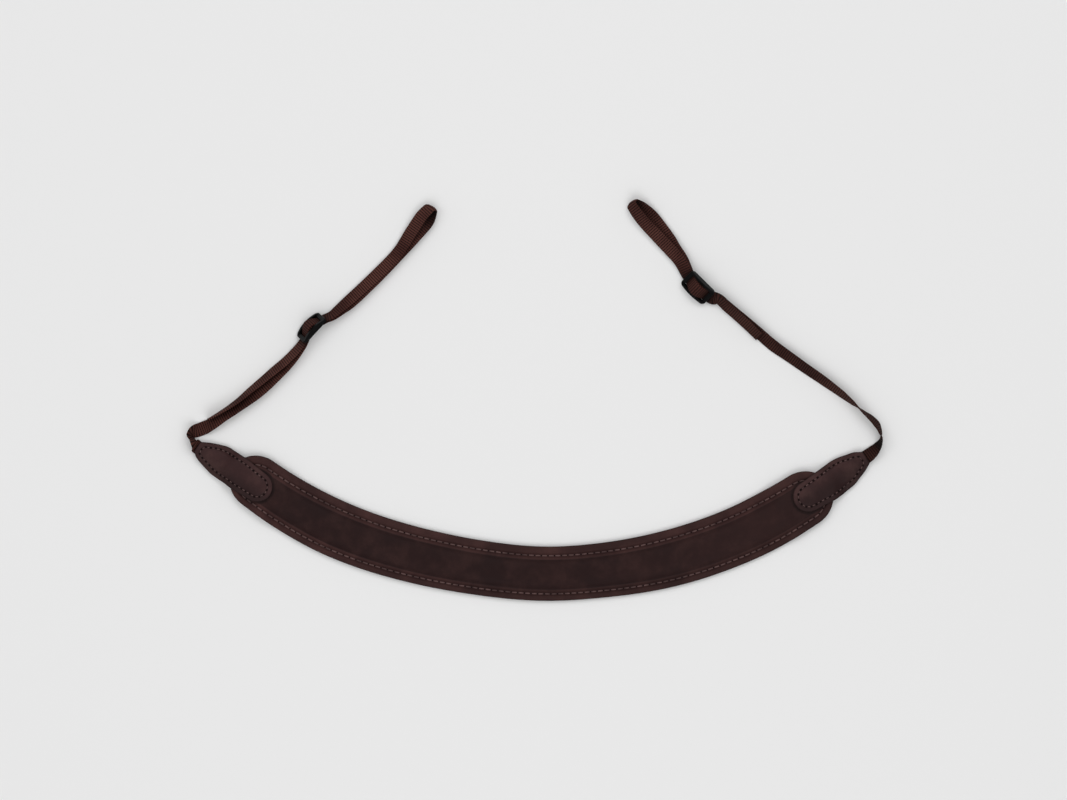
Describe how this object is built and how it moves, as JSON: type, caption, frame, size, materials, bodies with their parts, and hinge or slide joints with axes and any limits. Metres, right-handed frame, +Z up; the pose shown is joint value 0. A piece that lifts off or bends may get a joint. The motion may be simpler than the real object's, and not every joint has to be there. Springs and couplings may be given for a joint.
{
  "type": "binocular strap",
  "caption": "Padded leather neck strap for binoculars, with stitched leather tabs and narrow webbing ends looped through three-bar slides.",
  "frame": {"origin": "middle of the bounding box, on the floor that the strap lies on", "axes": "+X along the chord of the pad, +Y from the pad towards the webbing loops, +Z up"},
  "size_m": [0.5148, 0.2978, 0.0152],
  "materials": {
    "facing_leather": "dark brown waxed leather",
    "backing_leather": "plain dark brown leather",
    "tab_leather": "smooth dark brown leather",
    "webbing": "flat webbing with cross ribs",
    "slide_plastic": "satin black"
  },
  "bodies": {
    "root": {"pad_facing": "facing_leather", "pad_backing": "backing_leather", "tab_upper_left": "tab_leather", "tab_upper_right": "tab_leather", "tab_lower_left": "tab_leather", "tab_lower_right": "tab_leather", "webbing_left": "webbing", "webbing_right": "webbing", "slide_left": "slide_plastic", "slide_right": "slide_plastic"}
  },
  "joints": []
}
